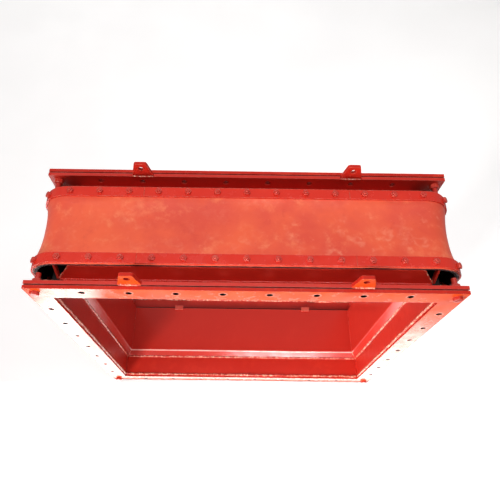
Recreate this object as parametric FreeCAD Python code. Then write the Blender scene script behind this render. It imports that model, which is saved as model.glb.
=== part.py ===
import FreeCAD, Part
import math
import os

# Rectangular fabric expansion joint for a flue or ventilation duct.
# X is the long side, Y the duct axis (inlet at -Y, outlet at +Y), Z up.
# Origin: centre of the base, level with the lowest bolt tips. Millimetres.

V = FreeCAD.Vector
UP = V(0, 0, 1)
DUCT = V(0, 1, 0)

# Duct opening and flanges
HALF_W = 420.0           # half of the opening along X
HALF_H = 375.0           # half of the opening along Z
HALF_LEN = 155.0         # half of the face-to-face length
COMPANION_T = 8.0        # companion flange flat bar thickness
GASKET_T = 3.0
FLANGE_W = 50.0          # flange width, flat bar and angle leg alike
ANGLE_T = 8.0
WEB_LEG = 75.0           # angle leg that lines the duct
GASKET_INSET = 3.0       # gasket stops short of the flange edge

# Flange holes
HOLE_R = 6.5
HOLE_D = 30.0            # hole line, outwards from the opening edge
HOLES_X = 10
HOLES_Z = 9

# Belt clamp, heights measured outwards from the opening edge
SEAT_D0 = 47.0
SEAT_D1 = 52.0
BELT_T = 4.0
BAR_T = 4.0
BAND_Y = 85.5            # clamp line, from mid length
SEAT_W = 27.0
BAR_W = 25.0
BELT_LAP = 14.0          # belt past the clamp line
WAIST = 7.0              # belt drawn in at mid length
CORNER_OFF = -8.0        # belt corner centre, outwards from the opening edge
CORNER_PLAY = 1.0        # keeps the seat and bars off the belt's curved corners
BAR_GAP = 0.4            # between the ends of neighbouring bars
SPLIT_X = 3.5            # where straight bars end, in clamp pitches from the middle
SPLIT_Z = 2.0

# Standoff plates between angle and belt seat
PLATE_T = 4.6
PLATE_FOOT = 114.0
PLATE_TOP = 99.0
PLATE_END_FOOT = -8.0    # ends, along the side, from the opening corner
PLATE_END_TOP = -38.0

# Upright gussets between angle and belt seat, past the ends of the top and bottom plates
GUSSET_IN = -7.0         # faces, along the side, from the opening corner
GUSSET_OUT = -3.0
GUSSET_DEPTH = 14.0
GUSSET_TOP = 46.6        # just under the seat where it starts to curve

# Fasteners
CHAMFER_SHARE = 0.96     # flat of a hexagon's face, as a share of its width
TIP_SHARE = 0.2          # tip chamfer, as a share of the shank radius

# Clamp fasteners, M8
M8_R = 4.0
M8_HOLE_R = 4.5
M8_AF = 13.0
M8_HEAD = 5.3
M8_NUT = 6.5
M8_LEN = 22.0
NUT_CLEAR = 0.03         # radial, nut bore round shank
CORNER_HEAD_GAP = 1.8    # the seat curves away from a flat head at the corners
CORNER_NUT_GAP = 0.5     # and the bar from a flat nut
CLAMP_REACH = 12.0       # drill run that stays within one side of the clamp
PITCH_X = 67.5
COUNT_X = 13
PITCH_Z = 70.0
COUNT_Z = 10

# Corner shipping fasteners, M12
M12_R = 6.0
M12_AF = 18.0
M12_HEAD = 7.5
M12_NUT = 10.8
M12_LEN = 45.0

# Flow liner
LINER_D = -14.0
LINER_T = 3.0
LINER_BEND = 7.0         # inside bend radius
LIP_Y0 = -80.0
LIP_Y1 = -58.0
LINER_END = 105.0
TAB_X = 242.0
TAB_W = 30.0
TAB_T = 4.0
TAB_Y0 = 98.0
TAB_Y1 = 114.0

# Lifting lugs
LUG_X = 246.0
LUG_BASE = 50.0
LUG_TOP = 28.0
LUG_H = 44.0
LUG_HOLE_H = 28.0
LUG_HOLE_R = 6.5
LUG_ROUND = 6.0

BELT_D0 = SEAT_D1
BELT_D1 = BELT_D0 + BELT_T
BAR_D1 = BELT_D1 + BAR_T
TIP_D = SEAT_D0 + M8_LEN
CENTRE = V(0, 0, HALF_H + TIP_D)

# Each side: direction along the side, outward direction, half length, half offset
SIDES = {
    "top": (V(1, 0, 0), V(0, 0, 1), HALF_W, HALF_H),
    "bottom": (V(1, 0, 0), V(0, 0, -1), HALF_W, HALF_H),
    "left": (V(0, 0, 1), V(-1, 0, 0), HALF_H, HALF_W),
    "right": (V(0, 0, 1), V(1, 0, 0), HALF_H, HALF_W),
}
CORNERS = [(1, 1), (-1, 1), (-1, -1), (1, -1)]
ENDS = {"inlet": -1, "outlet": 1}


def place(side, along, y, d):
    u, n, _, half_off = SIDES[side]
    return CENTRE + u * along + n * (half_off + d) + DUCT * y


def solid_from_faces(faces):
    solid = Part.makeSolid(Part.makeShell(faces))
    if solid.Volume < 0:
        solid.reverse()
    return solid


def side_bar(side, profile, end_at):
    """Straight bar along one side. profile is a list of (y, d) corners.
    end_at(d) gives its half length at height d."""
    low = [place(side, -end_at(d), y, d) for y, d in profile]
    high = [place(side, end_at(d), y, d) for y, d in profile]
    faces = [Part.Face(Part.makePolygon(low + low[:1]))]
    faces.append(Part.Face(Part.makePolygon(high + high[:1])))
    for i in range(len(profile)):
        j = (i + 1) % len(profile)
        loop = [low[i], low[j], high[j], high[i], low[i]]
        faces.append(Part.Face(Part.makePolygon(loop)))
    return solid_from_faces(faces)


def mitred_bar(side, profile):
    half_len = SIDES[side][2]
    return side_bar(side, profile, lambda d: half_len + d)


def rect(y0, y1, d0, d1):
    return [(y0, d0), (y1, d0), (y1, d1), (y0, d1)]


def profile_face(side, along, edges):
    """Face from (y, d) segments: two points make a line, three an arc."""
    made = []
    for seg in edges:
        pts = [place(side, along, y, d) for y, d in seg]
        if len(pts) == 2:
            made.append(Part.makeLine(pts[0], pts[1]))
        else:
            made.append(Part.Arc(pts[0], pts[1], pts[2]).toShape())
    return Part.Face(Part.Wire(made))


def straight_part(side, edges, a0, a1):
    u = SIDES[side][0]
    return profile_face(side, a0, edges).extrude(u * (a1 - a0))


def corner_part(sx, sz, edges, off):
    """Quarter turn of the profile about one corner of the band."""
    axis_at = CENTRE + V(sx * (HALF_W + off), 0, sz * (HALF_H + off))
    side = "right" if sx > 0 else "left"
    face = profile_face(side, sz * (HALF_H + off), edges)
    turn = -90.0 if sx * sz > 0 else 90.0
    return face.revolve(axis_at, DUCT, turn)


def polygon_edges(pts):
    return [[pts[i], pts[(i + 1) % len(pts)]] for i in range(len(pts))]


def full_ring(edges, off):
    pieces = []
    for side in SIDES:
        half = SIDES[side][2] + off
        pieces.append(straight_part(side, edges, -half, half))
    for sx, sz in CORNERS:
        pieces.append(corner_part(sx, sz, edges, off))
    return pieces[0].fuse(pieces[1:]).removeSplitter()


def drill(shape, holes, radius, reach):
    """holes is a list of (point, direction)."""
    tools = []
    for at, way in holes:
        tools.append(Part.makeCylinder(radius, 2 * reach, at - way * reach, way))
    return shape.cut(tools)


def hex_prism(across_flats, height, chamfer_low, chamfer_high):
    """Hexagon on +Z with 30 degree corner chamfers."""
    r = across_flats / math.sqrt(3.0)
    pts = []
    for i in range(7):
        a = math.radians(60 * i)
        pts.append(V(r * math.cos(a), r * math.sin(a), 0))
    body = Part.Face(Part.makePolygon(pts)).extrude(UP * height)
    flat_r = across_flats / 2.0 * CHAMFER_SHARE
    drop = (r - flat_r) * math.tan(math.radians(30))
    prof = [V(0, 0, 0)]
    prof += [V(flat_r, 0, 0), V(r, 0, drop)] if chamfer_low else [V(r, 0, 0)]
    prof += [V(r, 0, height - drop), V(flat_r, 0, height)] if chamfer_high else [V(r, 0, height)]
    prof += [V(0, 0, height), V(0, 0, 0)]
    turned = Part.Face(Part.makePolygon(prof)).revolve(V(0, 0, 0), UP, 360)
    return body.common(turned)


def make_nut(across_flats, height, bore_r):
    nut = hex_prism(across_flats, height, True, True)
    bore = Part.makeCylinder(bore_r, height + 2, V(0, 0, -1), UP)
    flare = 0.6
    cone = Part.makeCone(bore_r, bore_r + flare, flare, V(0, 0, height - flare), UP)
    return nut.cut([bore, cone])


def make_bolt(radius, across_flats, head, length):
    """Head below zero, shank up to length, tip chamfered."""
    top = hex_prism(across_flats, head, True, False)
    top.translate(V(0, 0, -head))
    tip = radius * TIP_SHARE
    shank = Part.makeCylinder(radius, length - tip, V(0, 0, 0), UP)
    end = Part.makeCone(radius, radius - tip, tip, V(0, 0, length - tip), UP)
    return top.fuse([shank, end]).removeSplitter()


def set_at(shape, at, way):
    """Copy of a +Z fastener moved to a point and pointed along a direction.
    Its flats stay parallel to the duct axis."""
    side_dir = DUCT if abs(way.y) < 0.5 else V(1, 0, 0)
    third = way.cross(side_dir)
    m = FreeCAD.Matrix(
        third.x, side_dir.x, way.x, at.x,
        third.y, side_dir.y, way.y, at.y,
        third.z, side_dir.z, way.z, at.z,
        0, 0, 0, 1)
    copy = shape.copy()
    copy.transformShape(m)
    return copy


def clamp_lines():
    """Clamp bolt lines of one band: (flat or corner, point at the opening edge, direction)."""
    lines = []
    for side, count, pitch in (("top", COUNT_X, PITCH_X), ("bottom", COUNT_X, PITCH_X),
                               ("left", COUNT_Z, PITCH_Z), ("right", COUNT_Z, PITCH_Z)):
        for i in range(count):
            along = (i - (count - 1) / 2.0) * pitch
            lines.append(("flat", place(side, along, 0, 0), SIDES[side][1]))
    for sx, sz in CORNERS:
        centre = CENTRE + V(sx * (HALF_W + CORNER_OFF), 0, sz * (HALF_H + CORNER_OFF))
        way = V(sx, 0, sz).normalize()
        lines.append(("corner", centre - way * CORNER_OFF, way))
    return lines


def flange_holes():
    holes = []
    half_x = HALF_W + HOLE_D
    half_z = HALF_H + HOLE_D
    for i in range(HOLES_X):
        x = -half_x + 2 * half_x * i / (HOLES_X - 1)
        holes.append(CENTRE + V(x, 0, half_z))
        holes.append(CENTRE + V(x, 0, -half_z))
    for i in range(1, HOLES_Z - 1):
        z = -half_z + 2 * half_z * i / (HOLES_Z - 1)
        holes.append(CENTRE + V(half_x, 0, z))
        holes.append(CENTRE + V(-half_x, 0, z))
    return holes


def near(shape, holes):
    box = shape.BoundBox
    kept = []
    for at in holes:
        inside_x = box.XMin - HOLE_R < at.x < box.XMax + HOLE_R
        inside_z = box.ZMin - HOLE_R < at.z < box.ZMax + HOLE_R
        if inside_x and inside_z:
            kept.append((at, DUCT))
    return kept


def companion_bar(side, s):
    """Flat bar of the loose flange. Top and bottom bars run the full width."""
    y0 = s * HALF_LEN
    y1 = s * (HALF_LEN - COMPANION_T)
    half_len = SIDES[side][2]
    extra = FLANGE_W if side in ("top", "bottom") else 0.0
    bar = side_bar(side, rect(y0, y1, 0, FLANGE_W), lambda d: half_len + extra)
    return drill(bar, near(bar, flange_holes()), HOLE_R, HALF_LEN + 20)


def gasket(s):
    y0 = s * (HALF_LEN - COMPANION_T)
    y1 = y0 - s * GASKET_T
    out = FLANGE_W - GASKET_INSET
    outer = Part.makeBox(2 * (HALF_W + out), GASKET_T, 2 * (HALF_H + out),
                         V(-HALF_W - out, min(y0, y1), CENTRE.z - HALF_H - out))
    inner = Part.makeBox(2 * HALF_W, GASKET_T, 2 * HALF_H,
                         V(-HALF_W, min(y0, y1), CENTRE.z - HALF_H))
    ring = outer.cut(inner)
    return drill(ring, near(ring, flange_holes()), HOLE_R, HALF_LEN + 20)


def angle_bar(side, s):
    """Unequal angle: short leg is the flange, long leg lines the duct."""
    face = HALF_LEN - COMPANION_T - GASKET_T
    pts = [(s * face, 0), (s * (face - WEB_LEG), 0), (s * (face - WEB_LEG), ANGLE_T),
           (s * (face - ANGLE_T), ANGLE_T), (s * (face - ANGLE_T), FLANGE_W), (s * face, FLANGE_W)]
    bar = mitred_bar(side, pts)
    reach = HALF_LEN - face + ANGLE_T + 2
    holes = [(at + DUCT * s * HALF_LEN, way) for at, way in near(bar, flange_holes())]
    return drill(bar, holes, HOLE_R, reach)


def standoff_plate(side, s):
    """Sloping plate from the angle's leg out to the front edge of the belt seat."""
    pts = [(s * PLATE_FOOT, ANGLE_T), (s * PLATE_TOP, SEAT_D0),
           (s * (PLATE_TOP - PLATE_T), SEAT_D0), (s * (PLATE_FOOT - PLATE_T), ANGLE_T)]
    half_len = SIDES[side][2]
    slope = (PLATE_END_TOP - PLATE_END_FOOT) / (SEAT_D0 - ANGLE_T)
    return side_bar(side, pts, lambda d: half_len + PLATE_END_FOOT + slope * (d - ANGLE_T))


def corner_gussets(s):
    foot = s * PLATE_FOOT
    top = s * (PLATE_FOOT + (PLATE_TOP - PLATE_FOOT) * (GUSSET_TOP - ANGLE_T) / (SEAT_D0 - ANGLE_T))
    back = s * GUSSET_DEPTH
    pts = [(foot, ANGLE_T), (top, GUSSET_TOP), (top - back, GUSSET_TOP), (foot - back, ANGLE_T)]
    edges = polygon_edges(pts)
    gussets = []
    for side in ("top", "bottom"):
        for way in (-1, 1):
            ends = sorted((way * (HALF_W + GUSSET_IN), way * (HALF_W + GUSSET_OUT)))
            gussets.append(straight_part(side, edges, ends[0], ends[1]))
    return gussets


def clamp_holes(s):
    return [(at + DUCT * s * BAND_Y + way * SEAT_D1, way) for _, at, way in clamp_lines()]


def belt_seat(s):
    y0 = s * BAND_Y - SEAT_W / 2
    ring = full_ring(polygon_edges(rect(y0, y0 + SEAT_W, SEAT_D0, SEAT_D1)), CORNER_OFF - CORNER_PLAY)
    return drill(ring, clamp_holes(s), M8_HOLE_R, CLAMP_REACH)


def belt():
    end = BAND_Y + BELT_LAP
    bend = BAND_Y - BAR_W / 2 - 2
    low = BELT_D0
    high = BELT_D1
    edges = [
        [(-end, low), (-bend, low)],
        [(-bend, low), (0, low - WAIST), (bend, low)],
        [(bend, low), (end, low)],
        [(end, low), (end, high)],
        [(end, high), (bend, high)],
        [(bend, high), (0, high - WAIST), (-bend, high)],
        [(-bend, high), (-end, high)],
        [(-end, high), (-end, low)],
    ]
    ring = full_ring(edges, CORNER_OFF)
    return drill(ring, clamp_holes(-1) + clamp_holes(1), M8_HOLE_R, CLAMP_REACH)


def clamp_bars(s):
    """Four straight bars and four corner bars that press the belt on its seat."""
    y0 = s * BAND_Y - BAR_W / 2
    edges = polygon_edges(rect(y0, y0 + BAR_W, BELT_D1, BAR_D1))
    off = CORNER_OFF + CORNER_PLAY
    split_x = SPLIT_X * PITCH_X
    split_z = SPLIT_Z * PITCH_Z
    split = {"top": split_x, "bottom": split_x, "left": split_z, "right": split_z}
    straight = []
    for side in SIDES:
        half = split[side] - BAR_GAP / 2
        straight.append(straight_part(side, edges, -half, half))
    corner = []
    for sx, sz in CORNERS:
        across = "top" if sz > 0 else "bottom"
        upright = "right" if sx > 0 else "left"
        bend = corner_part(sx, sz, edges, off)
        legs = []
        for side, way, half in ((across, sx, HALF_W + off), (upright, sz, HALF_H + off)):
            a = sorted((way * (split[side] + BAR_GAP / 2), way * half))
            legs.append(straight_part(side, edges, a[0], a[1]))
        corner.append(bend.fuse(legs).removeSplitter())
    holes = clamp_holes(s)
    return ([drill(b, holes, M8_HOLE_R, CLAMP_REACH) for b in straight],
            [drill(b, holes, M8_HOLE_R, CLAMP_REACH) for b in corner])


def clamp_fasteners(s):
    bolt = make_bolt(M8_R, M8_AF, M8_HEAD, M8_LEN)
    nut = make_nut(M8_AF, M8_NUT, M8_R + NUT_CLEAR)
    bolts = []
    nuts = []
    for kind, at, way in clamp_lines():
        base = at + DUCT * s * BAND_Y
        head_gap = 0.0 if kind == "flat" else CORNER_HEAD_GAP
        nut_gap = 0.0 if kind == "flat" else CORNER_NUT_GAP
        bolts.append(set_at(bolt, base + way * (SEAT_D0 - head_gap), way))
        nuts.append(set_at(nut, base + way * (BAR_D1 + nut_gap), way))
    return bolts, nuts


def shipping_fasteners(s):
    """Short bolts that hold the companion flange on at its corners."""
    bolt = make_bolt(M12_R, M12_AF, M12_HEAD, M12_LEN)
    nut = make_nut(M12_AF, M12_NUT, M12_R + NUT_CLEAR)
    way = DUCT * -s
    inner = HALF_LEN - COMPANION_T - GASKET_T - ANGLE_T
    bolts = []
    nuts = []
    for sx, sz in CORNERS:
        at = CENTRE + V(sx * (HALF_W + HOLE_D), 0, sz * (HALF_H + HOLE_D))
        bolts.append(set_at(bolt, at + DUCT * s * HALF_LEN, way))
        nuts.append(set_at(nut, at + DUCT * s * inner, way))
    return bolts, nuts


def lifting_lug(sx, s):
    face = HALF_LEN - COMPANION_T - GASKET_T
    y0 = s * face if s < 0 else face - ANGLE_T
    edge = CENTRE.z + HALF_H + FLANGE_W
    x = sx * LUG_X
    pts = [V(x - LUG_BASE / 2, y0, edge), V(x + LUG_BASE / 2, y0, edge),
           V(x + LUG_TOP / 2, y0, edge + LUG_H), V(x - LUG_TOP / 2, y0, edge + LUG_H)]
    plate = Part.Face(Part.makePolygon(pts + pts[:1])).extrude(DUCT * ANGLE_T)
    top_edges = []
    for e in plate.Edges:
        a = e.Vertexes[0].Point
        b = e.Vertexes[-1].Point
        along_duct = abs(a.x - b.x) < 0.01
        if along_duct and min(a.z, b.z) > edge + LUG_H - 1:
            top_edges.append(e)
    plate = plate.makeFillet(LUG_ROUND, top_edges)
    return drill(plate, [(V(x, y0, edge + LUG_HOLE_H), DUCT)], LUG_HOLE_R, 20)


def bend(before, corner, after, radius):
    """Arc (start, middle, end) that rounds a corner of a (y, d) profile."""
    c = V(corner[0], corner[1], 0)
    to_before = (V(before[0], before[1], 0) - c).normalize()
    to_after = (V(after[0], after[1], 0) - c).normalize()
    half = to_before.getAngle(to_after) / 2
    inwards = (to_before + to_after).normalize()
    start = c + to_before * (radius / math.tan(half))
    end = c + to_after * (radius / math.tan(half))
    middle = c + inwards * (radius / math.sin(half) - radius)
    return [(q.x, q.y) for q in (start, middle, end)]


def liner_panel(side):
    """Sheet panel: sloping lip welded inside the inlet angle, then a straight skirt."""
    run = LIP_Y1 - LIP_Y0
    length = math.hypot(run, LINER_D)
    dy = -LINER_D / length * LINER_T
    dd = run / length * LINER_T
    slope = LINER_D / run
    back = LINER_D + LINER_T
    lip = (LIP_Y0, 0)
    knee = (LIP_Y1, LINER_D)
    end = (LINER_END, LINER_D)
    back_end = (LINER_END, back)
    back_knee = (LIP_Y0 + dy + (back - dd) / slope, back)
    foot = (LIP_Y0 + dy - dd / slope, 0)
    front_arc = bend(lip, knee, end, LINER_BEND + LINER_T)
    back_arc = bend(back_end, back_knee, foot, LINER_BEND)
    edges = [[lip, front_arc[0]], front_arc, [front_arc[2], end], [end, back_end],
             [back_end, back_arc[0]], back_arc, [back_arc[2], foot], [foot, lip]]
    half_len = SIDES[side][2]
    panel = straight_part(side, edges, -half_len, half_len)
    return panel.common(mitred_bar(side, rect(LIP_Y0 - 5, LINER_END + 5, LINER_D - 5, 5)))


def guide_tab(sx):
    """Flat tab on the gas side of the bottom panel, reaching past its free end."""
    z = CENTRE.z - HALF_H - LINER_D
    return Part.makeBox(TAB_W, TAB_Y1 - TAB_Y0, TAB_T, V(sx * TAB_X - TAB_W / 2, TAB_Y0, z))


def save(name, solids):
    shape = solids[0] if len(solids) == 1 else Part.makeCompound(solids)
    bad = [s for s in solids if not s.isValid() or len(s.Solids) != 1]
    print(name, len(solids), "ok" if not bad else "BAD")
    shape.exportStep("parts/" + name + ".step")


def main():
    os.makedirs("parts", exist_ok=True)
    for end, s in ENDS.items():
        for side in SIDES:
            save(end + "_companion_flange_" + side, [companion_bar(side, s)])
            save(end + "_angle_" + side, [angle_bar(side, s)])
            save(end + "_standoff_plate_" + side, [standoff_plate(side, s)])
        save(end + "_gasket", [gasket(s)])
        save(end + "_belt_seat", [belt_seat(s)])
        save(end + "_corner_gussets", corner_gussets(s))
        straight, corner = clamp_bars(s)
        save(end + "_clamp_bars_straight", straight)
        save(end + "_clamp_bars_corner", corner)
        bolts, nuts = clamp_fasteners(s)
        save(end + "_clamp_bolts", bolts)
        save(end + "_clamp_nuts", nuts)
        bolts, nuts = shipping_fasteners(s)
        save(end + "_shipping_bolts", bolts)
        save(end + "_shipping_nuts", nuts)
        save(end + "_lifting_lug_left", [lifting_lug(-1, s)])
        save(end + "_lifting_lug_right", [lifting_lug(1, s)])
    save("belt", [belt()])
    for side in SIDES:
        save("liner_panel_" + side, [liner_panel(side)])
    save("liner_guide_tab_left", [guide_tab(-1)])
    save("liner_guide_tab_right", [guide_tab(1)])


main()
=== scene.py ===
import math

import bpy
import numpy as np
from mathutils import Matrix, Vector, noise


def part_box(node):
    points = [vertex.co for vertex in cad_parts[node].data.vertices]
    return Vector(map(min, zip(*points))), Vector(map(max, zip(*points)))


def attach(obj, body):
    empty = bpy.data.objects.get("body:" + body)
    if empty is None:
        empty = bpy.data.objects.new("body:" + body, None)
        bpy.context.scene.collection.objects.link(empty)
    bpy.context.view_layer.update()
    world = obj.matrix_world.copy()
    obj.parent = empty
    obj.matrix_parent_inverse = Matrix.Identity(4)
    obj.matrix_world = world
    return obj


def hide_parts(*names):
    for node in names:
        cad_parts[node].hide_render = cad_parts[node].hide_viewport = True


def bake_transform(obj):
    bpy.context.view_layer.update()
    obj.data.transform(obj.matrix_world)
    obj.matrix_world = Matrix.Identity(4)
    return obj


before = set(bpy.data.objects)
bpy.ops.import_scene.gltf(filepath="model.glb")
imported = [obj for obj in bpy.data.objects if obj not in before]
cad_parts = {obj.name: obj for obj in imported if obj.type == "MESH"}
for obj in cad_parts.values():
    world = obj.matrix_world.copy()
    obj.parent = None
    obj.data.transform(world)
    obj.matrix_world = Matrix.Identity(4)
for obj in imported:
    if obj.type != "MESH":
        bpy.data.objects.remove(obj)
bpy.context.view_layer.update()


def measure(value):
    """A size out of a CAD box, without the noise of its mesh."""
    return round(value, 5)


# Metres: X along the long side, Y along the duct, Z up. D means outwards from the opening's edge.
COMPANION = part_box("inlet_companion_flange_top")
ANGLE_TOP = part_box("inlet_angle_top")
ANGLE_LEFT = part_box("inlet_angle_left")
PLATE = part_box("inlet_standoff_plate_top")
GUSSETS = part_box("inlet_corner_gussets")
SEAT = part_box("inlet_belt_seat")
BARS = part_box("inlet_clamp_bars_straight")
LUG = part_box("inlet_lifting_lug_right")
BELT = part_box("belt")
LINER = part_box("liner_panel_left")

MID_Z = measure((ANGLE_LEFT[0].z + ANGLE_LEFT[1].z) / 2)
HALF_W = measure(-ANGLE_LEFT[1].x)
HALF_H = measure(ANGLE_TOP[0].z - MID_Z)
FLANGE_D = measure(ANGLE_TOP[1].x - HALF_W)
COMPANION_Y = measure(-COMPANION[1].y)
FLANGE_Y = measure(-ANGLE_TOP[0].y)
WEB_END_Y = measure(-ANGLE_TOP[1].y)
HOLE_D = 0.030
HOLE_R = 0.0065
HOLE_STEPS_W = 9
HOLE_STEPS_H = 8
ANGLE_T = 0.008
LEG_Y = measure(FLANGE_Y - ANGLE_T)
PLATE_FOOT_Y = measure(-PLATE[0].y)
PLATE_TOP_Y = 0.099
PLATE_END_FOOT = measure(HALF_W - PLATE[1].x)
PLATE_END_TOP = 0.038
GUSSET_DEPTH = 0.014
GUSSET_MID = measure(GUSSETS[1].x - 0.002)
SEAT_D = 0.047
BELT_IN = measure(SEAT[1].x - HALF_W)
BELT_OUT = measure(BELT[1].x - HALF_W)
CORNER_OFF = 0.008
BAND_Y = measure(-(BARS[0].y + BARS[1].y) / 2)
BAR_HALF = measure((BARS[1].y - BARS[0].y) / 2)
LAP_END = measure(BELT[1].y)
WAIST = 0.007
CLAMP_PITCH = 0.068
BELT_CLEAR = 0.00015
LINER_D = measure(LINER[1].x + HALF_W)
LIP_Y0 = measure(LINER[0].y)
LIP_Y1 = -0.058
BEND_Y = LIP_Y1 - 0.0022
LINER_END = measure(LINER[1].y)
LUG_X = measure((LUG[0].x + LUG[1].x) / 2)
LUG_HALF = measure((LUG[1].x - LUG[0].x) / 2)

# Weld bead radii
SEAM_BEAD = 0.0042
LIP_BEAD = 0.0034
GUSSET_BEAD = 0.0030
END_BEAD = 0.0029
FOOT_BEAD = 0.0028
LUG_BEAD = 0.0024
CORNER_BEAD = 0.0024
LIP_CORNER_BEAD = 0.0018
PANEL_BEAD = 0.0011

ENDS = {"inlet": -1, "outlet": 1}
SIDES = {
    "top": (Vector((1, 0, 0)), Vector((0, 0, 1)), HALF_W, HALF_H),
    "bottom": (Vector((1, 0, 0)), Vector((0, 0, -1)), HALF_W, HALF_H),
    "left": (Vector((0, 0, 1)), Vector((-1, 0, 0)), HALF_H, HALF_W),
    "right": (Vector((0, 0, 1)), Vector((1, 0, 0)), HALF_H, HALF_W),
}
CORNERS = [(1, 1), (-1, 1), (-1, -1), (1, -1)]


# ---------------------------------------------------------------- shader nodes
class Shader:
    """A material's node tree, built with short calls."""

    def __init__(self, name):
        self.mat = bpy.data.materials.new(name)
        self.mat.use_nodes = True
        self.tree = self.mat.node_tree
        self.tree.nodes.clear()
        self.out = self.tree.nodes.new("ShaderNodeOutputMaterial")
        self.coord = self.node("TexCoord").outputs["Object"]

    def node(self, kind, sockets=(), **props):
        made = self.tree.nodes.new("ShaderNode" + kind)
        for key, value in props.items():
            setattr(made, key, value)
        for key, value in dict(sockets).items():
            self.put(made.inputs[key], value)
        return made

    def put(self, socket, value):
        if isinstance(value, bpy.types.NodeSocket):
            self.tree.links.new(value, socket)
        else:
            socket.default_value = value

    def noise(self, scale, detail=3.0, rough=0.55, stretch=None, distortion=0.0):
        where = self.coord
        if stretch:
            where = self.node("Mapping", {"Vector": where, "Scale": stretch}).outputs[0]
        made = self.node("TexNoise", {"Vector": where, "Scale": scale, "Detail": detail,
                                      "Roughness": rough, "Distortion": distortion})
        return made.outputs["Fac"]

    def ramp(self, value, low, high, to_low=0.0, to_high=1.0):
        made = self.node("MapRange", {0: value, 1: low, 2: high, 3: to_low, 4: to_high})
        made.interpolation_type = "SMOOTHSTEP"
        return made.outputs[0]

    def math(self, op, a, b=0.0, clamp=False):
        made = self.node("Math", {0: a, 1: b}, operation=op)
        made.use_clamp = clamp
        return made.outputs[0]

    def mix(self, factor, a, b):
        made = self.node("Mix", data_type="RGBA")
        self.put(made.inputs[0], factor)
        self.put(made.inputs[6], a)
        self.put(made.inputs[7], b)
        return made.outputs[2]

    def bump(self, height, distance, strength=1.0, normal=None):
        sockets = {"Height": height, "Distance": distance, "Strength": strength}
        if normal is not None:
            sockets["Normal"] = normal
        return self.node("Bump", sockets).outputs[0]

    def edge(self, radius, low, high):
        """(rounded normal, mask of the edges)"""
        soft = self.node("Bevel", {"Radius": radius}, samples=4).outputs[0]
        hard = self.node("NewGeometry").outputs["Normal"]
        dot = self.node("VectorMath", {0: soft, 1: hard}, operation="DOT_PRODUCT").outputs["Value"]
        return soft, self.ramp(dot, high, low)

    def finish(self, **sockets):
        bsdf = self.node("BsdfPrincipled")
        for key, value in sockets.items():
            self.put(bsdf.inputs[key.replace("_", " ")], value)
        self.tree.links.new(bsdf.outputs[0], self.out.inputs[0])
        return self.mat


def rgb(r, g, b):
    return (r, g, b, 1.0)


RED = rgb(0.58, 0.024, 0.013)
DEEP = rgb(0.42, 0.014, 0.009)
BRIGHT = rgb(0.76, 0.050, 0.022)
PALE = rgb(0.86, 0.24, 0.16)
SOOT = rgb(0.060, 0.009, 0.008)
# Near black used as painted shade: recesses, the seat's hidden sides and the inside of the holes.
SHADE_BLACK = rgb(0.010, 0.007, 0.007)
# Orange painted reflection for the inlet's front-facing flange faces.
REFLECTED_ORANGE = rgb(0.80, 0.085, 0.012)
# Pale painted highlight for the liner's bend.
KNEE_HIGHLIGHT = rgb(0.95, 0.58, 0.52)


def paint(name, base=RED, dark=DEEP, light=BRIGHT, rough=(0.20, 0.34), edge_wear_and_highlight=0.55,
          gloss_level=0.5, mottle=0.45, specks=0.55, hole_rings_and_shade=False, patch=None,
          relief=1.0):
    """Brushed red primer over steel: mottled colour, dirt, pale edges that are partly worn paint and partly a
    painted edge highlight, orange peel.

    patch is (mask function, colour, added roughness) for painted shade, reflection or highlight laid over
    part of the surface.
    """
    s = Shader(name)
    soft, edge = s.edge(0.0014, 0.88, 0.995)
    broad = s.noise(4.5, 4.0, 0.6, distortion=0.6)
    blotch = s.noise(24.0, 5.0, 0.62)
    fine = s.noise(160.0, 4.0, 0.6)
    colour = s.mix(s.ramp(broad, 0.66, 0.34, 0.0, mottle), base, dark)
    colour = s.mix(s.ramp(blotch, 0.50, 0.74, 0.0, mottle), colour, light)
    colour = s.mix(s.ramp(fine, 0.62, 0.80, 0.0, 0.22), colour, dark)
    specks = s.ramp(s.noise(520.0, 2.0), 0.70, 0.76, 0.0, specks)
    colour = s.mix(specks, colour, SOOT)
    # Pale edges: partly worn paint, partly a painted highlight along every edge.
    pale_edge_mask = s.math("MULTIPLY", edge, s.ramp(s.noise(90.0, 4.0), 0.38, 0.62, 0.25, edge_wear_and_highlight + 0.25), True)
    colour = s.mix(pale_edge_mask, colour, PALE)
    dull = None
    # The patch paints shade, a reflection or a highlight onto its mask.
    if patch:
        where, patch_colour, dullness = patch
        mask = where(s)
        colour = s.mix(mask, colour, patch_colour)
        dull = s.math("MULTIPLY", mask, dullness)
    if hole_rings_and_shade:
        colour = paint_hole_rings_and_shade(s, colour)
    gloss = s.ramp(s.noise(38.0, 4.0, 0.6), 0.30, 0.72, rough[0], rough[1])
    gloss = s.math("ADD", gloss, s.math("MULTIPLY", specks, 0.25))
    if dull:
        gloss = s.math("ADD", gloss, dull, True)
    peel = s.bump(s.noise(330.0, 3.0), 0.00018, 0.25 * relief, soft)
    strokes = s.bump(s.noise(70.0, 3.0, 0.5, (1.0, 0.14, 1.0)), 0.00025, 0.10 * relief, peel)
    waves = s.bump(s.noise(9.0, 2.0), 0.0020, 0.22 * relief, strokes)
    return s.finish(Base_Color=colour, Roughness=gloss, Normal=waves, Specular_IOR_Level=gloss_level)


def outwards(s):
    """Cosine between the face and the direction away from the duct's axis."""
    out = s.node("VectorMath", {0: s.coord, 1: (0, 0, MID_Z)}, operation="SUBTRACT").outputs[0]
    flat = s.node("VectorMath", {0: out, 1: (1, 0, 1)}, operation="MULTIPLY").outputs[0]
    way = s.node("VectorMath", {0: flat}, operation="NORMALIZE").outputs[0]
    normal = s.node("NewGeometry").outputs["Normal"]
    return s.node("VectorMath", {0: normal, 1: way}, operation="DOT_PRODUCT").outputs["Value"]


# Painted shade: the seat's faces that don't face outwards, in the dark gap under the belt's edges, are
# painted near black.
def painted_shade_seat_sides(s):
    return s.ramp(outwards(s), 0.35, 0.15)


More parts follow.
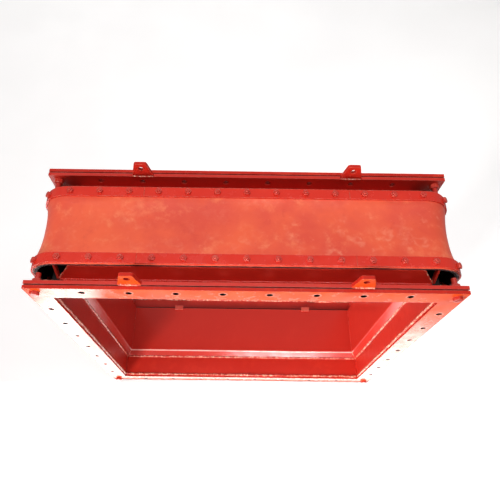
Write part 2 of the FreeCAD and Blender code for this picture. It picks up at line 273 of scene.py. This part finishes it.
def painted_shade_recesses(s):
    """Painted shade: near black on the pocket behind the standoff plates, and a painted shadow line on the
    web just past the liner's end.
    """
    xyz = s.node("SeparateXYZ", {0: s.coord}).outputs
    x = s.math("ABSOLUTE", xyz[0])
    y = s.math("ABSOLUTE", xyz[1])
    z = s.math("ABSOLUTE", s.math("SUBTRACT", xyz[2], MID_Z))
    past_x = s.ramp(x, HALF_W - 0.019, HALF_W - 0.016)
    past_z = s.ramp(z, HALF_H - 0.019, HALF_H - 0.016)
    corner = s.math("MINIMUM", past_x, past_z)
    pocket = s.math("MAXIMUM", s.ramp(y, 0.1095, 0.1080), s.math("MULTIPLY", corner, s.ramp(y, 0.135, 0.134)))
    away = outwards(s)
    under_liner = s.math("MULTIPLY", s.ramp(xyz[1], 0.100, 0.101), s.ramp(xyz[1], 0.1145, 0.1125, 0.0, 0.8))
    outside = s.math("MULTIPLY", s.ramp(away, 0.45, 0.55), pocket)
    return s.math("MAXIMUM", outside, s.math("MULTIPLY", s.ramp(away, -0.45, -0.55), under_liner))


def painted_knee_highlight(s):
    """Painted highlight: a pale line along the liner's bend, strongest on the bottom panel."""
    xyz = s.node("SeparateXYZ", {0: s.coord}).outputs
    off = s.math("ABSOLUTE", s.math("SUBTRACT", xyz[1], BEND_Y))
    band = s.ramp(off, 0.0022, 0.0012)
    low = s.ramp(xyz[2], 0.12, 0.09, 0.06, 0.85)
    highlight_breakup = s.ramp(s.noise(30.0, 3.0), 0.25, 0.55, 0.55, 1.0)
    return s.math("MULTIPLY", s.math("MULTIPLY", band, low), highlight_breakup)


def painted_front_reflection(s):
    """Painted reflection: the inlet's front-facing flange faces turn orange, standing in for the warm ground
    mirrored in them.
    """
    normal = s.node("NewGeometry").outputs["Normal"]
    facing = s.ramp(s.node("SeparateXYZ", {0: normal}).outputs[1], -0.5, -0.9)
    front = s.ramp(s.node("SeparateXYZ", {0: s.coord}).outputs[1], 0.0, -0.1)
    reflection_breakup = s.ramp(s.noise(14.0, 4.0), 0.25, 0.65, 0.60, 1.0)
    return s.math("MULTIPLY", s.math("MULTIPLY", facing, front), reflection_breakup)


def hole_distance(s):
    """Distance from the axis of the nearest flange hole."""
    xyz = s.node("SeparateXYZ", {0: s.coord})
    x = s.math("ABSOLUTE", xyz.outputs[0])
    z = s.math("ABSOLUTE", s.math("SUBTRACT", xyz.outputs[2], MID_Z))
    pitch_x = (HALF_W + HOLE_D) / HOLE_STEPS_W
    pitch_z = (HALF_H + HOLE_D) / HOLE_STEPS_H
    along_row = s.math("PINGPONG", s.math("ADD", x, pitch_x), pitch_x)
    across_row = s.math("SUBTRACT", z, HALF_H + HOLE_D)
    along_col = s.math("PINGPONG", z, pitch_z)
    across_col = s.math("SUBTRACT", x, HALF_W + HOLE_D)
    lengths = []
    for a, b in ((along_row, across_row), (along_col, across_col)):
        span = s.node("CombineXYZ", {0: a, 1: b}).outputs[0]
        lengths.append(s.node("VectorMath", {0: span}, operation="LENGTH").outputs["Value"])
    return s.math("MINIMUM", lengths[0], lengths[1])


def paint_hole_rings_and_shade(s, colour):
    """Pale rubbed rings where washers sat, and painted shade, near black, inside the holes."""
    away = hole_distance(s)
    inner = s.ramp(away, HOLE_R, HOLE_R + 0.001)
    outer = s.ramp(away, HOLE_R + 0.0033, HOLE_R + 0.005, 1.0, 0.0)
    broken = s.ramp(s.noise(130.0, 3.0), 0.34, 0.56, 0.0, 0.8)
    ring = s.math("MULTIPLY", s.math("MULTIPLY", inner, outer), broken)
    colour = s.mix(ring, colour, PALE)
    # Painted shade: the holes' walls are near black.
    return s.mix(s.ramp(away, HOLE_R + 0.0005, HOLE_R + 0.0002), colour, SHADE_BLACK)


def weld_paint(name):
    """Glossy paint over rippled weld metal, with pale cream spots painted on as glints."""
    s = Shader(name)
    soft, edge = s.edge(0.0008, 0.80, 0.99)
    # Painted highlight: random pale cream spots stand in for glints on the beads, and are glossier.
    painted_glints = s.ramp(s.noise(240.0, 3.0), 0.42, 0.58)
    colour = s.mix(painted_glints, rgb(0.68, 0.06, 0.03), rgb(0.95, 0.50, 0.34))
    colour = s.mix(s.ramp(s.noise(75.0, 3.0), 0.44, 0.60, 0.0, 0.9), colour, RED)
    bumps = s.bump(s.noise(700.0, 2.0), 0.0003, 0.5, soft)
    return s.finish(Base_Color=colour, Roughness=s.ramp(painted_glints, 0.0, 1.0, 0.34, 0.16), Normal=bumps,
                    Coat_Weight=0.15, Coat_Roughness=0.08, Specular_IOR_Level=0.5)


def belt_cloth(name):
    """Rubber-coated cloth under red paint: fine weave, chalky bloom, rubbed patches."""
    s = Shader(name)
    wave_x = s.node("TexWave", {"Vector": s.coord, "Scale": 210.0, "Distortion": 0.6}, bands_direction="X")
    wave_y = s.node("TexWave", {"Vector": s.coord, "Scale": 210.0, "Distortion": 0.6}, bands_direction="Y")
    wave_z = s.node("TexWave", {"Vector": s.coord, "Scale": 210.0, "Distortion": 0.6}, bands_direction="Z")
    weave = s.math("ADD", s.math("ADD", wave_x.outputs["Fac"], wave_y.outputs["Fac"]), wave_z.outputs["Fac"])
    broad = s.noise(4.6, 4.0, 0.60, distortion=0.2)
    patch = s.noise(19.0, 6.0, 0.68, distortion=0.2)
    fine = s.noise(120.0, 4.0, 0.6)
    colour = s.mix(s.ramp(broad, 0.34, 0.66), rgb(0.70, 0.072, 0.040), rgb(0.84, 0.118, 0.046))
    colour = s.mix(s.ramp(patch, 0.52, 0.74, 0.0, 0.60), colour, rgb(0.88, 0.22, 0.095))
    colour = s.mix(s.ramp(patch, 0.42, 0.26, 0.0, 0.45), colour, rgb(0.62, 0.050, 0.030))
    colour = s.mix(s.ramp(fine, 0.60, 0.80, 0.0, 0.25), colour, rgb(0.86, 0.24, 0.15))
    warp = s.node("TexNoise", {"Vector": s.coord, "Scale": 38.0, "Detail": 4.0}).outputs["Color"]
    warp = s.node("VectorMath", {0: warp, 1: (0.05, 0.05, 0.05)}, operation="MULTIPLY").outputs[0]
    warped = s.node("VectorMath", {0: s.coord, 1: warp}, operation="ADD").outputs[0]
    cell = s.node("TexVoronoi", {"Vector": warped, "Scale": 23.0}).outputs["Distance"]
    loops = s.math("MULTIPLY", s.ramp(cell, 0.20, 0.36), s.ramp(cell, 0.54, 0.38))
    across = s.node("SeparateXYZ", {0: s.coord}).outputs[0]
    to_right = s.ramp(across, -0.12, 0.20, 0.08, 0.30)
    stained = s.math("MULTIPLY", s.ramp(s.noise(7.0, 3.0), 0.44, 0.60), to_right)
    loops = s.math("MULTIPLY", loops, s.ramp(s.noise(60.0, 3.0), 0.36, 0.62, 0.15, 1.0))
    colour = s.mix(s.math("MULTIPLY", loops, stained), colour, rgb(0.93, 0.36, 0.22))
    powder = s.math("MULTIPLY", s.ramp(s.noise(48.0, 5.0, 0.7), 0.52, 0.74), s.ramp(patch, 0.40, 0.60))
    colour = s.mix(s.math("MULTIPLY", powder, 0.38), colour, rgb(0.93, 0.30, 0.15))
    specks = s.ramp(s.noise(430.0, 2.0), 0.72, 0.78, 0.0, 0.5)
    colour = s.mix(specks, colour, rgb(0.16, 0.010, 0.010))
    rough = s.ramp(s.noise(20.0, 4.0), 0.30, 0.70, 0.40, 0.62)
    cloth = s.bump(weave, 0.00010, 0.30)
    lumps = s.bump(s.noise(55.0, 4.0), 0.0008, 0.40, cloth)
    return s.finish(Base_Color=colour, Roughness=rough, Normal=lumps, Sheen_Weight=0.20,
                    Sheen_Roughness=0.45, Sheen_Tint=rgb(1.0, 0.55, 0.55), Specular_IOR_Level=0.25)


def cut_edge(name):
    """Raw cut edge of the belt: dark rubbered cloth smeared with paint."""
    s = Shader(name)
    threads = s.ramp(s.noise(420.0, 3.0), 0.42, 0.60)
    colour = s.mix(threads, rgb(0.10, 0.010, 0.009), rgb(0.26, 0.030, 0.022))
    colour = s.mix(s.ramp(s.noise(40.0, 3.0), 0.50, 0.66, 0.0, 0.7), colour, rgb(0.62, 0.10, 0.07))
    return s.finish(Base_Color=colour, Roughness=0.6, Normal=s.bump(threads, 0.0004, 0.6),
                    Specular_IOR_Level=0.4)


def rubber(name, colour, rough):
    s = Shader(name)
    shade = s.mix(s.ramp(s.noise(30.0, 4.0), 0.35, 0.7), colour, rgb(0.035, 0.026, 0.026))
    shade = s.mix(s.ramp(s.noise(300.0, 3.0), 0.62, 0.75, 0.0, 0.4), shade, rgb(0.10, 0.03, 0.03))
    skin = s.bump(s.noise(260.0, 3.0), 0.0003, 0.5)
    return s.finish(Base_Color=shade, Roughness=s.ramp(s.noise(45.0), 0.3, 0.7, rough, rough + 0.18),
                    Normal=skin, Specular_IOR_Level=0.35)


# frame_paint carries painted shade: near black in the pocket behind the standoff plates and just past the
# liner's end.
frame_paint = paint("frame_paint", rough=(0.30, 0.38), gloss_level=0.35, mottle=0.25, specks=0.25,
                    relief=0.4, patch=(painted_shade_recesses, SHADE_BLACK, 0.6))
# seat_paint carries painted shade: near black on the seat faces that don't face outwards.
seat_paint = paint("seat_paint", patch=(painted_shade_seat_sides, SHADE_BLACK, 0.6))
# flange_paint carries a painted reflection: orange on the inlet's front-facing faces.
flange_paint = paint("flange_paint", rough=(0.18, 0.30), gloss_level=0.22, hole_rings_and_shade=True,
                     patch=(painted_front_reflection, REFLECTED_ORANGE, 0.0))
# liner_paint carries a painted highlight: a pale, glossier line along the bend.
liner_paint = paint("liner_paint", base=rgb(0.57, 0.028, 0.017), dark=rgb(0.50, 0.020, 0.013),
                    light=rgb(0.62, 0.036, 0.020), rough=(0.16, 0.25), edge_wear_and_highlight=0.35, mottle=0.25,
                    specks=0.2, patch=(painted_knee_highlight, KNEE_HIGHLIGHT, -0.05))
bar_paint = paint("bar_paint", base=rgb(0.68, 0.030, 0.015), dark=rgb(0.56, 0.020, 0.011),
                  rough=(0.17, 0.30), edge_wear_and_highlight=0.7, mottle=0.30)
nut_paint = paint("fastener_paint", base=rgb(0.56, 0.030, 0.018), light=rgb(0.76, 0.12, 0.07),
                  rough=(0.20, 0.38), edge_wear_and_highlight=0.5)
weld = weld_paint("weld_paint")
# Painted highlight: the tabs get a lighter, pinker copy of the red paint, with pale edges.
highlighted_tab_paint = paint("highlighted_tab_paint", base=rgb(0.70, 0.09, 0.06), light=rgb(0.85, 0.22, 0.15), edge_wear_and_highlight=1.0)
bead_paint = paint("bead_paint", edge_wear_and_highlight=0.3)
belt_red = belt_cloth("belt_cloth")
belt_black = rubber("belt_backing", rgb(0.012, 0.011, 0.011), 0.55)
belt_rim = cut_edge("belt_cut_edge")
gasket_dark = rubber("gasket_fibre", rgb(0.150, 0.012, 0.012), 0.65)


def dress(obj, material):
    obj.data.materials.clear()
    obj.data.materials.append(material)


for node_name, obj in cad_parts.items():
    if "gasket" in node_name:
        dress(obj, gasket_dark)
    elif "companion" in node_name or "lug" in node_name:
        dress(obj, flange_paint)
    elif "clamp_bars" in node_name:
        dress(obj, bar_paint)
    elif "bolts" in node_name or "nuts" in node_name:
        dress(obj, nut_paint)
    elif "liner_panel" in node_name:
        dress(obj, liner_paint)
    elif "guide_tab" in node_name:
        dress(obj, highlighted_tab_paint)
    elif "belt_seat" in node_name:
        dress(obj, seat_paint)
    else:
        dress(obj, frame_paint)


# ---------------------------------------------------------------- meshes
def place(side, along, y, d):
    u, n, _, half_off = SIDES[side]
    return Vector((0, y, MID_Z)) + u * along + n * (half_off + d)


def mesh_object(name, verts, faces, materials):
    mesh = bpy.data.meshes.new(name)
    mesh.from_pydata(verts, [], faces)
    mesh.validate()
    for m in materials:
        mesh.materials.append(m)
    mesh.polygons.foreach_set("use_smooth", [True] * len(mesh.polygons))
    obj = bpy.data.objects.new(name, mesh)
    bpy.context.scene.collection.objects.link(obj)
    return obj


class Beads:
    """Weld beads gathered into one mesh."""

    SEG = 8
    RIPPLE = 0.0056

    def __init__(self):
        self.verts = []
        self.faces = []

    def run(self, a, b, radius, rough=0.22):
        axis = b - a
        length = axis.length
        axis.normalize()
        side = axis.cross(Vector((0.31, 0.52, 0.79))).normalized()
        other = axis.cross(side)
        rings = max(6, int(length / self.RIPPLE * 4))
        first = len(self.verts)
        for i in range(rings + 1):
            along = length * i / rings
            at = a + axis * along
            scallop = 0.68 + 0.32 * abs(math.sin(math.pi * along / self.RIPPLE))
            lump = noise.noise(at * 95.0) * rough + noise.noise(at * 21.0) * rough
            end = min(1.0, (along + 0.0006) / 0.003, (length - along + 0.0006) / 0.003)
            r = radius * (scallop + lump) * end
            drift = (side * noise.noise(at * 33.0) + other * noise.noise(at * 41.0 + side)) * radius * 0.25
            for k in range(self.SEG):
                t = 2 * math.pi * k / self.SEG
                self.verts.append(at + drift + (side * math.cos(t) + other * math.sin(t)) * r)
        for i in range(rings):
            for k in range(self.SEG):
                j = (k + 1) % self.SEG
                p = first + i * self.SEG
                self.faces.append((p + k, p + j, p + self.SEG + j, p + self.SEG + k))
        last = first + rings * self.SEG
        self.faces.append(tuple(range(first + self.SEG - 1, first - 1, -1)))
        self.faces.append(tuple(range(last, last + self.SEG)))

    def build(self, name, body, material):
        obj = mesh_object(name, self.verts, self.faces, [material])
        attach(obj, body)
        return obj


def weld_frame(end, s):
    """One end's welds: beads with painted glints on the open seams, painted-over ones in the corners."""
    beads = Beads()
    dull = Beads()
    seam_y = s * (COMPANION_Y + FLANGE_Y) / 2
    for side, (_, _, half_len, _) in SIDES.items():
        run = half_len - 0.002
        beads.run(place(side, -run, seam_y, 0.0006), place(side, run, seam_y, 0.0006), SEAM_BEAD)
        foot = half_len - PLATE_END_FOOT
        foot_y = s * (PLATE_FOOT_Y + 0.0004)
        dull.run(place(side, -foot, foot_y, ANGLE_T), place(side, foot, foot_y, ANGLE_T), FOOT_BEAD)
        for way in (-1, 1):
            a = place(side, way * (half_len - PLATE_END_FOOT), s * (PLATE_FOOT_Y - 0.002), ANGLE_T)
            b = place(side, way * (half_len - PLATE_END_TOP), s * (PLATE_TOP_Y - 0.002), SEAT_D)
            beads.run(a, b, END_BEAD, 0.5)
    for sx, sz in CORNERS:
        inside = Vector((sx * (HALF_W - 0.0004), 0, MID_Z + sz * (HALF_H - 0.0004)))
        start = inside + Vector((0, s * FLANGE_Y, 0))
        dull.run(start, inside + Vector((0, s * WEB_END_Y, 0)), CORNER_BEAD)
    for side in ("top", "bottom"):
        for way in (-1, 1):
            foot = place(side, way * GUSSET_MID, s * PLATE_FOOT_Y, ANGLE_T)
            beads.run(foot, foot - Vector((0, s * GUSSET_DEPTH, 0)), GUSSET_BEAD, 0.4)
    for sx in (-1, 1):
        for y in (LEG_Y, FLANGE_Y):
            z = MID_Z + HALF_H + FLANGE_D
            a = Vector((sx * LUG_X - LUG_HALF, s * y, z))
            beads.run(a, a + Vector((2 * LUG_HALF, 0, 0)), LUG_BEAD, 0.3)
    if end == "inlet":
        for side, (_, _, half_len, _) in SIDES.items():
            run = half_len - 0.003
            y = LIP_Y0 - 0.0004
            beads.run(place(side, -run, y, -0.0004), place(side, run, y, -0.0004), LIP_BEAD, 0.30)
        for sx, sz in CORNERS:
            knee = Vector((sx * (HALF_W - LINER_D), LIP_Y1, MID_Z + sz * (HALF_H - LINER_D)))
            foot = Vector((sx * HALF_W, LIP_Y0, MID_Z + sz * HALF_H))
            beads.run(foot, knee, LIP_CORNER_BEAD)
            dull.run(knee, knee + Vector((0, LINER_END - LIP_Y1 - 0.004, 0)), PANEL_BEAD, 0.12)
    beads.build("weld_beads_" + end, end + "_frame", weld)
    dull.build("painted_welds_" + end, end + "_frame", bead_paint)


for end_name, sign in ENDS.items():
    weld_frame(end_name, sign)


def belt_stations(step):
    """(point on the inner rounded rectangle, outward direction, distance run)."""
    hw = HALF_W - CORNER_OFF
    hh = HALF_H - CORNER_OFF
    out = []
    run = 0.0
    mid_r = (BELT_IN + BELT_OUT) / 2 + CORNER_OFF
    legs = [((hw, -hh), (hw, hh), 0.0), ((hw, hh), (-hw, hh), 90.0),
            ((-hw, hh), (-hw, -hh), 180.0), ((-hw, -hh), (hw, -hh), 270.0)]
    for (x0, z0), (x1, z1), angle in legs:
        length = math.hypot(x1 - x0, z1 - z0)
        count = int(length / step)
        a = math.radians(angle)
        way = Vector((math.cos(a), 0, math.sin(a)))
        for i in range(count):
            f = i / count
            point = Vector((x0 + (x1 - x0) * f, 0, MID_Z + z0 + (z1 - z0) * f))
            out.append((point, way, run + length * f))
        run += length
        turns = 18
        for i in range(turns):
            b = a + math.pi / 2 * i / turns
            point = Vector((x1, 0, MID_Z + z1))
            out.append((point, Vector((math.cos(b), 0, math.sin(b))), run + mid_r * (b - a)))
        run += mid_r * math.pi / 2
    return out, run


def build_belt():
    """The belt as a closed ring: red outside, black inside, drawn in at mid length."""
    stations, length = belt_stations(0.006)
    free = BAND_Y - BAR_HALF
    rows = [v * LAP_END for v in np.linspace(-1, 1, 61).tolist()]
    outer = []
    inner = []
    for point, way, run in stations:
        for y in rows:
            inside = max(0.0, 1.0 - (y / free) ** 2)
            p = point + Vector((0, y, 0)) + way * 0.05
            sag = WAIST * inside
            slack = noise.noise(p * 7.0) * 0.0022 + noise.noise(p * 19.0) * 0.0007
            by_bar = math.exp(-((abs(y) - 0.066) / 0.010) ** 2)
            pinch = abs(math.sin(math.pi * run / CLAMP_PITCH)) * 0.0006 * by_bar
            d = -sag + (slack + pinch) * min(1.0, inside * 3.0)
            edge = 0.0
            if abs(y) > LAP_END - 0.0002:
                edge = math.copysign(noise.noise(p * 26.0) * 0.0010, y)
            at = point + Vector((0, y + edge, 0))
            outer.append(at + way * (BELT_OUT + CORNER_OFF - BELT_CLEAR + d))
            inner.append(at + way * (BELT_IN + CORNER_OFF + BELT_CLEAR + d))
    n = len(stations)
    m = len(rows)
    verts = outer + inner
    base = n * m
    faces = []
    for i in range(n):
        j = (i + 1) % n
        for k in range(m - 1):
            faces.append((i * m + k, i * m + k + 1, j * m + k + 1, j * m + k))
    for i in range(n):
        j = (i + 1) % n
        for k in range(m - 1):
            faces.append((base + i * m + k, base + j * m + k, base + j * m + k + 1, base + i * m + k + 1))
    for i in range(n):
        j = (i + 1) % n
        faces.append((i * m, j * m, base + j * m, base + i * m))
        faces.append((i * m + m - 1, base + i * m + m - 1, base + j * m + m - 1, j * m + m - 1))
    obj = mesh_object("belt_cover", verts, faces, [belt_red, belt_black, belt_rim])
    side = [0] * (n * (m - 1)) + [1] * (n * (m - 1)) + [2] * (2 * n)
    obj.data.polygons.foreach_set("material_index", side)
    flat_edges = [True] * (2 * n * (m - 1)) + [False] * (2 * n)
    obj.data.polygons.foreach_set("use_smooth", flat_edges)
    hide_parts("belt")
    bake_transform(obj)


build_belt()


# ---------------------------------------------------------------- floor, light, camera
FLOOR_HALF = 12.0


def ground(name, corners, material):
    """A flat stage piece at ground level."""
    mesh = bpy.data.meshes.new(name)
    mesh.from_pydata([(x, y, 0) for x, y in corners], [], [(0, 1, 2, 3)])
    mesh.materials.append(material)
    obj = bpy.data.objects.new(name, mesh)
    bpy.context.scene.collection.objects.link(obj)
    obj.visible_diffuse = False
    return obj


def floor():
    """Pale plain ground; the paint's gloss picks up the reflector cards instead."""
    s = Shader("floor_pale")
    tone = s.mix(s.ramp(s.noise(3.0, 3.0), 0.3, 0.7), rgb(0.88, 0.865, 0.86), rgb(0.91, 0.895, 0.89))
    material = s.finish(Base_Color=tone, Roughness=0.9, Emission_Color=tone, Emission_Strength=0.35)
    e = FLOOR_HALF
    obj = ground("floor", [(-e, -e), (e, -e), (e, e), (-e, e)], material)
    obj.location.z = -0.0005
    obj.visible_glossy = False


def reflector(name, x0, x1, y0, y1, fade, strength):
    """Glowing card on the ground, seen only in the gloss of the flange face."""
    s = Shader(name)
    xyz = s.node("SeparateXYZ", {0: s.coord}).outputs
    cloud = s.ramp(s.noise(8.0, 4.0), 0.25, 0.75, -fade, fade)
    x = s.math("ADD", xyz[0], cloud)
    y = s.math("ADD", xyz[1], cloud)
    inside_x = s.math("MINIMUM", s.math("SUBTRACT", x, x0), s.math("SUBTRACT", x1, x))
    inside = s.math("MINIMUM", inside_x, s.math("SUBTRACT", y, y0))
    glow = s.ramp(inside, 0.0, fade, 0.0, strength)
    material = s.finish(Base_Color=rgb(0, 0, 0), Emission_Color=rgb(1, 0.97, 0.94), Emission_Strength=glow)
    obj = ground(name, [(x0, y0), (x1, y0), (x1, y1), (x0, y1)], material)
    obj.visible_camera = False
    obj.visible_shadow = False


def area(name, at, target, size, power, colour=(1, 1, 1), spread=180):
    light = bpy.data.lights.new(name, "AREA")
    light.shape = "RECTANGLE"
    light.size, light.size_y = size
    light.energy = power
    light.color = colour
    light.spread = math.radians(spread)
    obj = bpy.data.objects.new(name, light)
    obj.location = at
    obj.rotation_euler = (Vector(target) - Vector(at)).to_track_quat("-Z", "Y").to_euler()
    bpy.context.scene.collection.objects.link(obj)


floor()
reflector("card_front", -0.95, 0.95, -0.42, -0.165, 0.08, 6.0)
reflector("card_left", -0.86, -0.58, -0.62, -0.165, 0.03, 12.0)
area("key", (-1.2, -1.6, 0.9), (0.35, -0.05, 0.35), (0.6, 0.6), 8, (1.0, 0.97, 0.93), spread=60)
area("top", (0.05, 0.0, 3.1), (0.05, 0.05, 0.4), (2.4, 0.7), 41)
area("back", (-0.6, 2.8, 2.0), (0, 0, 0.4), (3.4, 1.8), 26)
area("front", (0.2, -2.6, 1.0), (0, -0.2, 0.4), (2.2, 0.5), 22)
area("strip", (0.38, -2.06, 1.78), (0.15, -0.07, 0.08), (0.8, 0.12), 0.8, spread=40)

world = bpy.data.worlds.new("world")
world.use_nodes = True
background = world.node_tree.nodes["Background"]
background.inputs["Color"].default_value = (1, 1, 1, 1)
background.inputs["Strength"].default_value = 0.26
bpy.context.scene.world = world
bpy.context.scene.view_settings.view_transform = "Standard"

FOCAL_OVER_WIDTH = 0.9307
SENSOR = 36.0
EYE = Vector((-0.0190, -0.5359, 1.7647))
LOOK = Vector((0.0032, 0.4456, -0.8952)).normalized()
LEVEL = Vector((0.9999, 0.0106, 0.0088)).normalized()
camera_data = bpy.data.cameras.new("camera")
camera_data.sensor_width = SENSOR
camera_data.lens = FOCAL_OVER_WIDTH * SENSOR
camera_data.shift_x = 0.0214
camera_data.shift_y = 0.0265
camera_data.clip_start = 0.05
camera = bpy.data.objects.new("camera", camera_data)
bpy.context.scene.collection.objects.link(camera)
up = LEVEL.cross(LOOK).normalized()
right = LOOK.cross(up).normalized()
turn = Matrix((right, up, -LOOK)).transposed().to_4x4()
camera.matrix_world = Matrix.Translation(EYE) @ turn
bpy.context.scene.camera = camera
